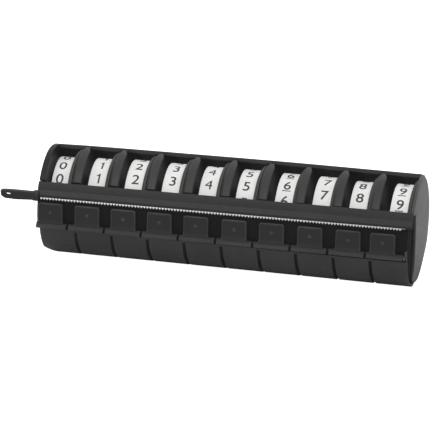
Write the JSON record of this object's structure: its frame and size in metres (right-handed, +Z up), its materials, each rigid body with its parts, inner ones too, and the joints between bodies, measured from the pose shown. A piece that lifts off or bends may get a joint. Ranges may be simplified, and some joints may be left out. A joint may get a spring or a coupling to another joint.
{
  "type": "cable marker tape dispenser",
  "caption": "Slim cylindrical dispenser: numbered marker tape on reels in a windowed case, with a serrated cutter bar, thumb tabs and a hang tab.",
  "frame": {"origin": "middle of the flat the case rests on, at the mid length of the ten compartments", "axes": "+X along the case axis towards the plain end plate, -Y towards the thumb tabs and the user, +Z up towards the window; the case axis lies 16.3 mm above the origin"},
  "size_m": [0.1264, 0.0339, 0.0332],
  "materials": {
    "case_plastic": "satin moulded black",
    "end_plastic": "satin moulded black, slightly glossier",
    "tab_plastic": "satin moulded black",
    "spool_plastic": "matte moulded dark grey",
    "spindle_plastic": "matte grey tube",
    "marker_tape": "white printed vinyl-cloth tape",
    "blade_steel": "bright serrated strip",
    "wire_steel": "drawn wire"
  },
  "bodies": {
    "case": {"back_shell": "case_plastic", "front_shell": "case_plastic", "front_bar": "case_plastic", "cutter_blade": "blade_steel", "left_end_cap": "case_plastic", "right_end_cap": "end_plastic", "spindle": "spindle_plastic", "hinge_wire": "wire_steel", "tape_guide": "case_plastic", "divider_1": "case_plastic", "divider_2": "case_plastic", "divider_3": "case_plastic", "divider_4": "case_plastic", "divider_5": "case_plastic", "divider_6": "case_plastic", "divider_7": "case_plastic", "divider_8": "case_plastic", "divider_9": "case_plastic"},
    "reel_0": {"spool_0": "spool_plastic", "tape_roll_0": "marker_tape"},
    "tab_0": {"thumb_tab_0": "tab_plastic"},
    "reel_1": {"spool_1": "spool_plastic", "tape_roll_1": "marker_tape"},
    "tab_1": {"thumb_tab_1": "tab_plastic"},
    "reel_2": {"spool_2": "spool_plastic", "tape_roll_2": "marker_tape"},
    "tab_2": {"thumb_tab_2": "tab_plastic"},
    "reel_3": {"spool_3": "spool_plastic", "tape_roll_3": "marker_tape"},
    "tab_3": {"thumb_tab_3": "tab_plastic"},
    "reel_4": {"spool_4": "spool_plastic", "tape_roll_4": "marker_tape"},
    "tab_4": {"thumb_tab_4": "tab_plastic"},
    "reel_5": {"spool_5": "spool_plastic", "tape_roll_5": "marker_tape"},
    "tab_5": {"thumb_tab_5": "tab_plastic"},
    "reel_6": {"spool_6": "spool_plastic", "tape_roll_6": "marker_tape"},
    "tab_6": {"thumb_tab_6": "tab_plastic"},
    "reel_7": {"spool_7": "spool_plastic", "tape_roll_7": "marker_tape"},
    "tab_7": {"thumb_tab_7": "tab_plastic"},
    "reel_8": {"spool_8": "spool_plastic", "tape_roll_8": "marker_tape"},
    "tab_8": {"thumb_tab_8": "tab_plastic"},
    "reel_9": {"spool_9": "spool_plastic", "tape_roll_9": "marker_tape"},
    "tab_9": {"thumb_tab_9": "tab_plastic"}
  },
  "joints": [
    {"name": "reel_0_spin", "type": "hinge", "parent": "case", "child": "reel_0", "pos_m": [-0.051, 0, 0.0163], "axis": [1, 0, 0], "continuous": true},
    {"name": "reel_1_spin", "type": "hinge", "parent": "case", "child": "reel_1", "pos_m": [-0.0396, 0, 0.0163], "axis": [1, 0, 0], "continuous": true},
    {"name": "reel_2_spin", "type": "hinge", "parent": "case", "child": "reel_2", "pos_m": [-0.0282, 0, 0.0163], "axis": [1, 0, 0], "continuous": true},
    {"name": "reel_3_spin", "type": "hinge", "parent": "case", "child": "reel_3", "pos_m": [-0.0168, 0, 0.0163], "axis": [1, 0, 0], "continuous": true},
    {"name": "reel_4_spin", "type": "hinge", "parent": "case", "child": "reel_4", "pos_m": [-0.0054, 0, 0.0163], "axis": [1, 0, 0], "continuous": true},
    {"name": "reel_5_spin", "type": "hinge", "parent": "case", "child": "reel_5", "pos_m": [0.006, 0, 0.0163], "axis": [1, 0, 0], "continuous": true},
    {"name": "reel_6_spin", "type": "hinge", "parent": "case", "child": "reel_6", "pos_m": [0.01795, 0, 0.0163], "axis": [1, 0, 0], "continuous": true},
    {"name": "reel_7_spin", "type": "hinge", "parent": "case", "child": "reel_7", "pos_m": [0.02935, 0, 0.0163], "axis": [1, 0, 0], "continuous": true},
    {"name": "reel_8_spin", "type": "hinge", "parent": "case", "child": "reel_8", "pos_m": [0.0405, 0, 0.0163], "axis": [1, 0, 0], "continuous": true},
    {"name": "reel_9_spin", "type": "hinge", "parent": "case", "child": "reel_9", "pos_m": [0.05285, 0, 0.0163], "axis": [1, 0, 0], "continuous": true},
    {"name": "tab_0_press", "type": "hinge", "parent": "case", "child": "tab_0", "pos_m": [-0.05305, -0.016, 0.0133], "axis": [-1, 0, 0], "range_deg": [0, 5]},
    {"name": "tab_1_press", "type": "hinge", "parent": "case", "child": "tab_1", "pos_m": [-0.04165, -0.016, 0.0133], "axis": [-1, 0, 0], "range_deg": [0, 5]},
    {"name": "tab_2_press", "type": "hinge", "parent": "case", "child": "tab_2", "pos_m": [-0.03025, -0.016, 0.0133], "axis": [-1, 0, 0], "range_deg": [0, 5]},
    {"name": "tab_3_press", "type": "hinge", "parent": "case", "child": "tab_3", "pos_m": [-0.01885, -0.016, 0.0133], "axis": [-1, 0, 0], "range_deg": [0, 5]},
    {"name": "tab_4_press", "type": "hinge", "parent": "case", "child": "tab_4", "pos_m": [-0.00745, -0.016, 0.0133], "axis": [-1, 0, 0], "range_deg": [0, 5]},
    {"name": "tab_5_press", "type": "hinge", "parent": "case", "child": "tab_5", "pos_m": [0.00395, -0.016, 0.0133], "axis": [-1, 0, 0], "range_deg": [0, 5]},
    {"name": "tab_6_press", "type": "hinge", "parent": "case", "child": "tab_6", "pos_m": [0.01535, -0.016, 0.0133], "axis": [-1, 0, 0], "range_deg": [0, 5]},
    {"name": "tab_7_press", "type": "hinge", "parent": "case", "child": "tab_7", "pos_m": [0.02675, -0.016, 0.0133], "axis": [-1, 0, 0], "range_deg": [0, 5]},
    {"name": "tab_8_press", "type": "hinge", "parent": "case", "child": "tab_8", "pos_m": [0.03815, -0.016, 0.0133], "axis": [-1, 0, 0], "range_deg": [0, 5]},
    {"name": "tab_9_press", "type": "hinge", "parent": "case", "child": "tab_9", "pos_m": [0.04955, -0.016, 0.0133], "axis": [-1, 0, 0], "range_deg": [0, 5]}
  ]
}
